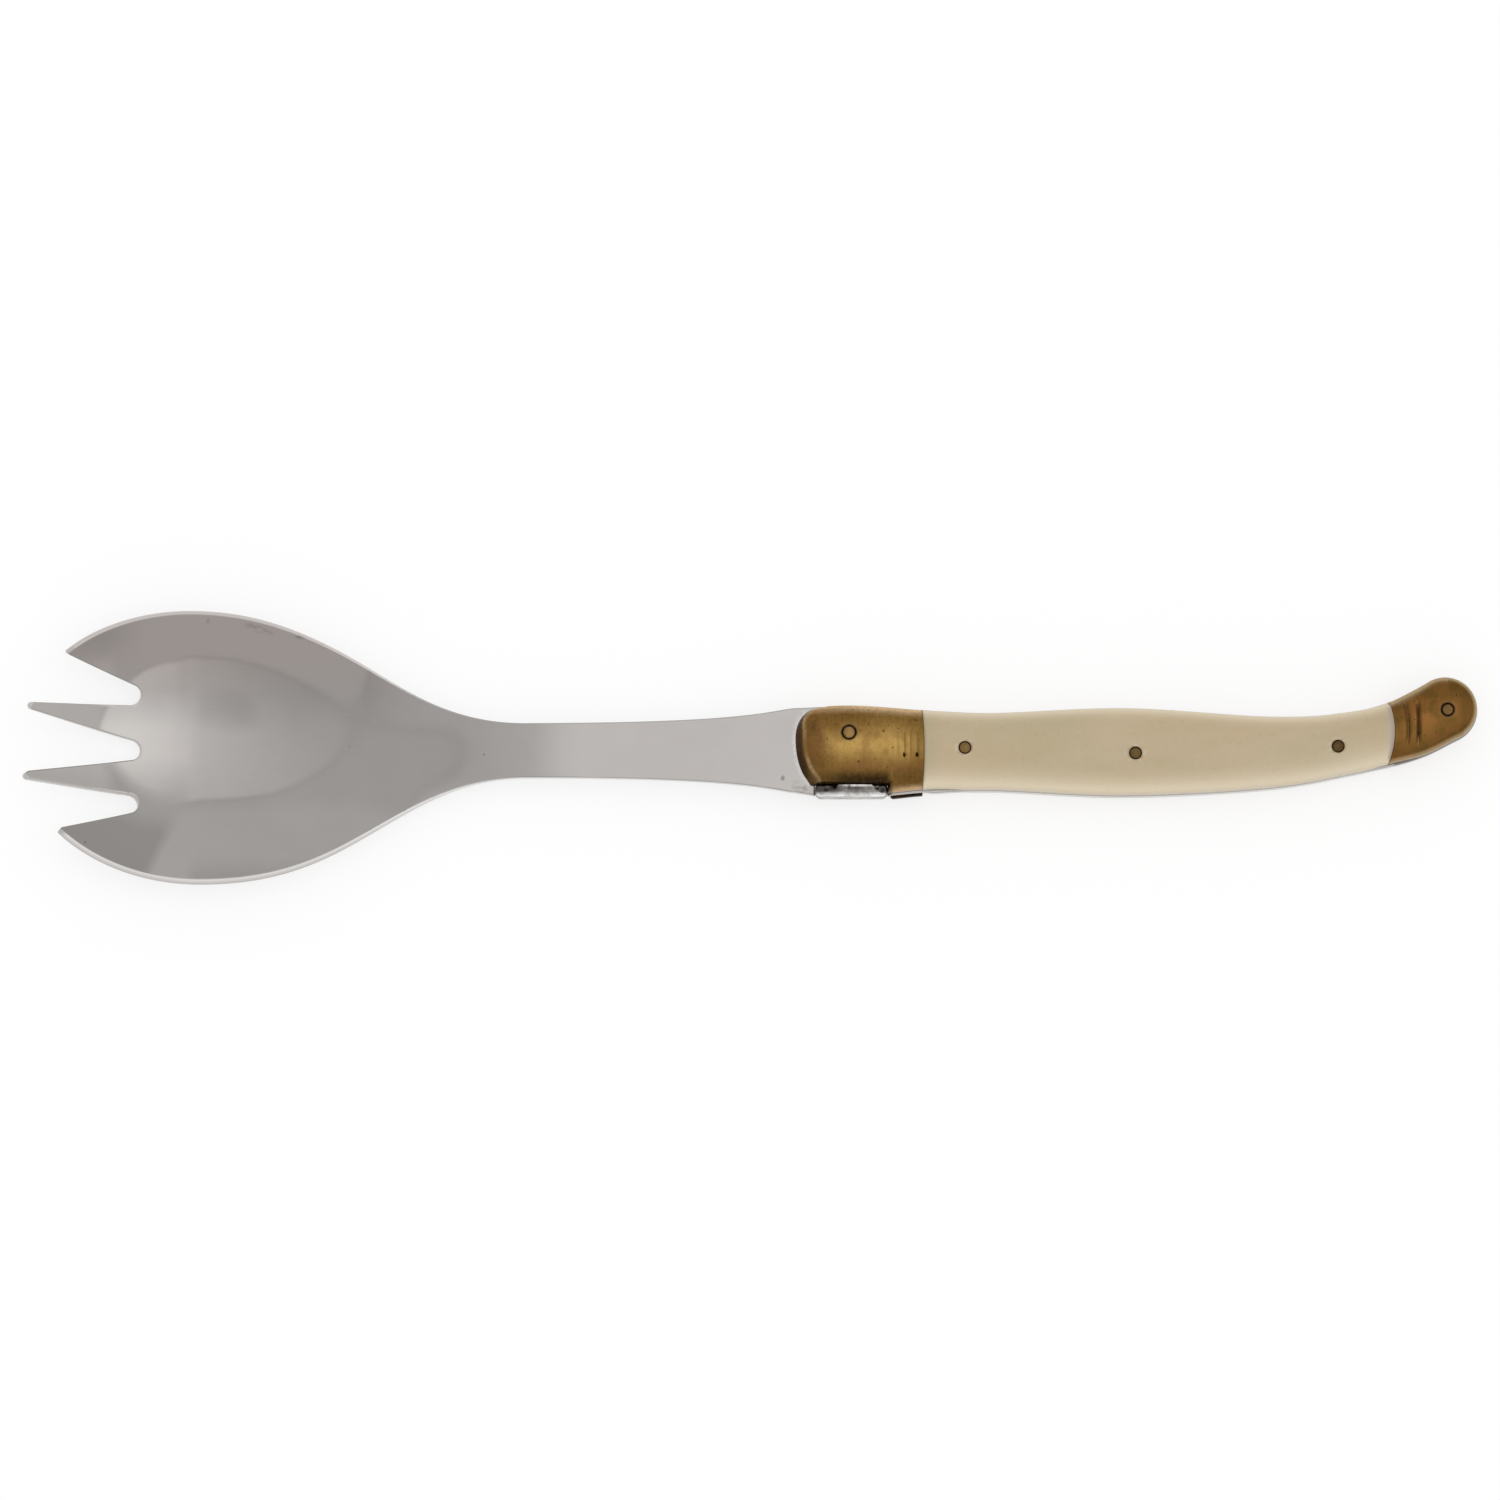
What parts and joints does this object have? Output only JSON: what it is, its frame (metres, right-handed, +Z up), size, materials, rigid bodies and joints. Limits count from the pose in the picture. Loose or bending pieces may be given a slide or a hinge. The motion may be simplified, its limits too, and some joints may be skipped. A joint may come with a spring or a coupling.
{
  "type": "salad serving fork",
  "caption": "Salad serving fork: a dished, tined steel head on a full tang, with brass bolsters, cream scales and brass butt caps pinned to both sides of a gently curved handle.",
  "frame": {"origin": "middle of the fork's box, on the surface that the fork lies on", "axes": "+X along the fork from the tine tips to the butt, +Y across it towards the side that the tail bends to, +Z up out of the bowl"},
  "size_m": [0.24, 0.0456, 0.0109],
  "materials": {
    "steel": "polished stainless sheet with fine hairline scratches and a few water stains",
    "brass": "aged satin brass, olive brown with coppery patches and dark grime in the corners",
    "pin_brass": "peened brass rod, filed flush, dark ring at the edge",
    "ivory": "cream resin in the colour of old bone, buffed, with a faint long grain"
  },
  "bodies": {
    "root": {"fork_blank": "steel", "spine_plate": "steel", "top_bolster": "brass", "top_scale": "ivory", "top_butt_cap": "brass", "bottom_bolster": "brass", "bottom_scale": "ivory", "bottom_butt_cap": "brass", "bolster_pin": "pin_brass", "front_scale_pin": "pin_brass", "middle_scale_pin": "pin_brass", "rear_scale_pin": "pin_brass", "butt_pin": "pin_brass"}
  },
  "joints": []
}
